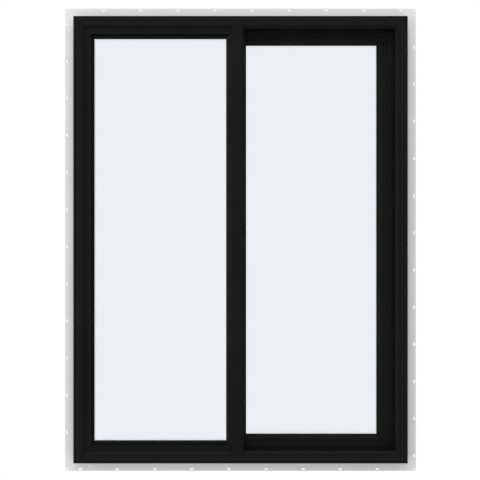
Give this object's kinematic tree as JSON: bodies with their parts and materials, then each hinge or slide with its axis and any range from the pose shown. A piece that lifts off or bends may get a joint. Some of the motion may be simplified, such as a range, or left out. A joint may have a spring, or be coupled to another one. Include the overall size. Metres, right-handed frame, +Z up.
{
  "type": "horizontal sliding window",
  "caption": "Horizontal sliding window with a fixed pane, a sliding sash, a slim black frame and a nail fin around it.",
  "frame": {"origin": "middle of the back face of the bottom nail fin, on the outer face of the wall", "axes": "+X right seen from outside, +Y in through the wall towards the room, +Z up"},
  "size_m": [0.9592, 0.0885, 1.2641],
  "materials": {
    "frame_vinyl": "satin",
    "sash_vinyl": "satin",
    "white_vinyl": "satin",
    "glass": "clear",
    "spacer": "matte",
    "rubber": "matte",
    "nylon": "matte",
    "brass": "satin",
    "pile": "matte",
    "lock_metal": "satin",
    "zinc": "satin"
  },
  "bodies": {
    "root": {"frame_head": "frame_vinyl", "frame_sill": "frame_vinyl", "frame_jamb_left": "frame_vinyl", "frame_jamb_right": "frame_vinyl", "fixed_jamb_stile": "frame_vinyl", "fixed_top_rail": "frame_vinyl", "fixed_bottom_rail": "frame_vinyl", "fixed_meeting_stile": "frame_vinyl", "fixed_bead_left": "frame_vinyl", "fixed_bead_right": "frame_vinyl", "fixed_bead_top": "frame_vinyl", "fixed_bead_bottom": "frame_vinyl", "fixed_outer_pane": "glass", "fixed_inner_pane": "glass", "fixed_spacer": "spacer", "fixed_setting_block_left": "rubber", "fixed_setting_block_right": "rubber", "sash_top_rail": "sash_vinyl", "sash_bottom_rail": "sash_vinyl", "sash_meeting_stile": "sash_vinyl", "sash_pull_stile": "sash_vinyl", "sash_bead_left": "white_vinyl", "sash_bead_right": "white_vinyl", "sash_bead_top": "white_vinyl", "sash_bead_bottom": "white_vinyl", "sash_outer_pane": "glass", "sash_inner_pane": "glass", "sash_spacer": "spacer", "sash_setting_block_left": "rubber", "sash_setting_block_right": "rubber", "roller_housing_left": "nylon", "roller_housing_right": "nylon", "roller_wheel_left": "brass", "roller_wheel_right": "brass", "closing_bumper_bottom": "rubber", "closing_bumper_top": "rubber", "travel_bumper_bottom": "rubber", "travel_bumper_top": "rubber", "weatherstrip_sill": "pile", "weatherstrip_head": "pile", "weatherstrip_jamb": "pile", "lock_base": "lock_metal", "lock_lever": "lock_metal", "lock_cam": "zinc", "lock_keeper": "zinc"}
  },
  "joints": []
}
